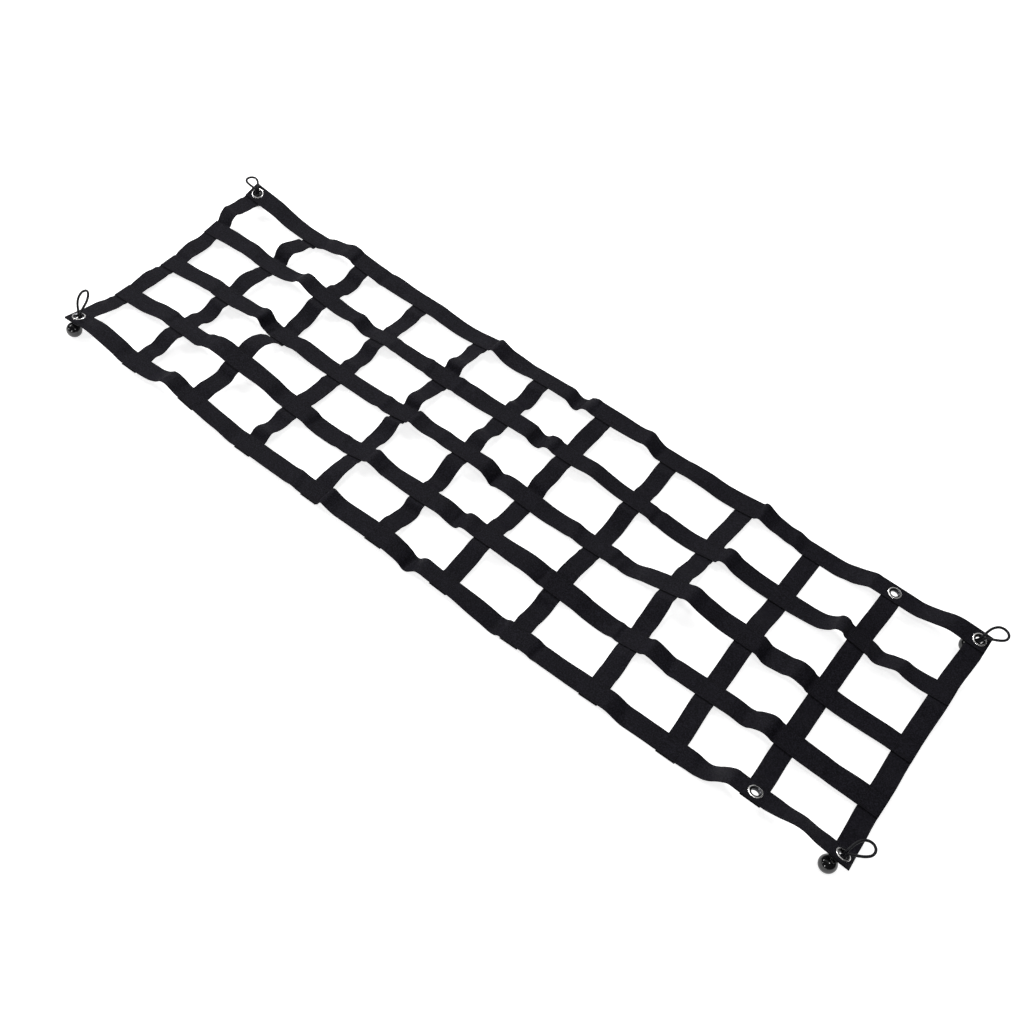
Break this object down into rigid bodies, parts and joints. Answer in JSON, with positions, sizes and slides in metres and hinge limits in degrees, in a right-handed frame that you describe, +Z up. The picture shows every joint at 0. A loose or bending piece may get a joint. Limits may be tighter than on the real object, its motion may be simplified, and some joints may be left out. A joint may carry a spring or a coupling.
{
  "type": "tailgate net",
  "caption": "Open webbing net for a pickup truck's tailgate opening, of sewn straps with corner eyelets and ball bungees, lying loosely on a surface.",
  "frame": {"origin": "on the surface that the net lies on, under the middle of the box round the straps and eyelets", "axes": "+X along the long straps towards the end with the two empty eyelets, +Y across the net from the near long strap to the far one, +Z up"},
  "size_m": [1.6246, 0.5155, 0.0806],
  "materials": {
    "webbing": "dull woven black",
    "eyelet": "bright nickel plate",
    "ball": "glossy moulded black",
    "bungee_cord": "braided black sheath"
  },
  "bodies": {
    "root": {"strap_long_1": "webbing", "strap_long_2": "webbing", "strap_long_3": "webbing", "strap_long_4": "webbing", "strap_long_5": "webbing", "strap_cross_01": "webbing", "strap_cross_02": "webbing", "strap_cross_03": "webbing", "strap_cross_04": "webbing", "strap_cross_05": "webbing", "strap_cross_06": "webbing", "strap_cross_07": "webbing", "strap_cross_08": "webbing", "strap_cross_09": "webbing", "strap_cross_10": "webbing", "strap_cross_11": "webbing", "strap_cross_12": "webbing", "eyelet_near_left": "eyelet", "eyelet_far_left": "eyelet", "eyelet_near_right": "eyelet", "eyelet_far_right": "eyelet", "eyelet_open_near": "eyelet", "eyelet_open_far": "eyelet", "ball_near_left": "ball", "ball_far_left": "ball", "ball_near_right": "ball", "ball_far_right": "ball", "loop_near_left": "bungee_cord", "loop_far_left": "bungee_cord", "loop_near_right": "bungee_cord", "loop_far_right": "bungee_cord"}
  },
  "joints": []
}
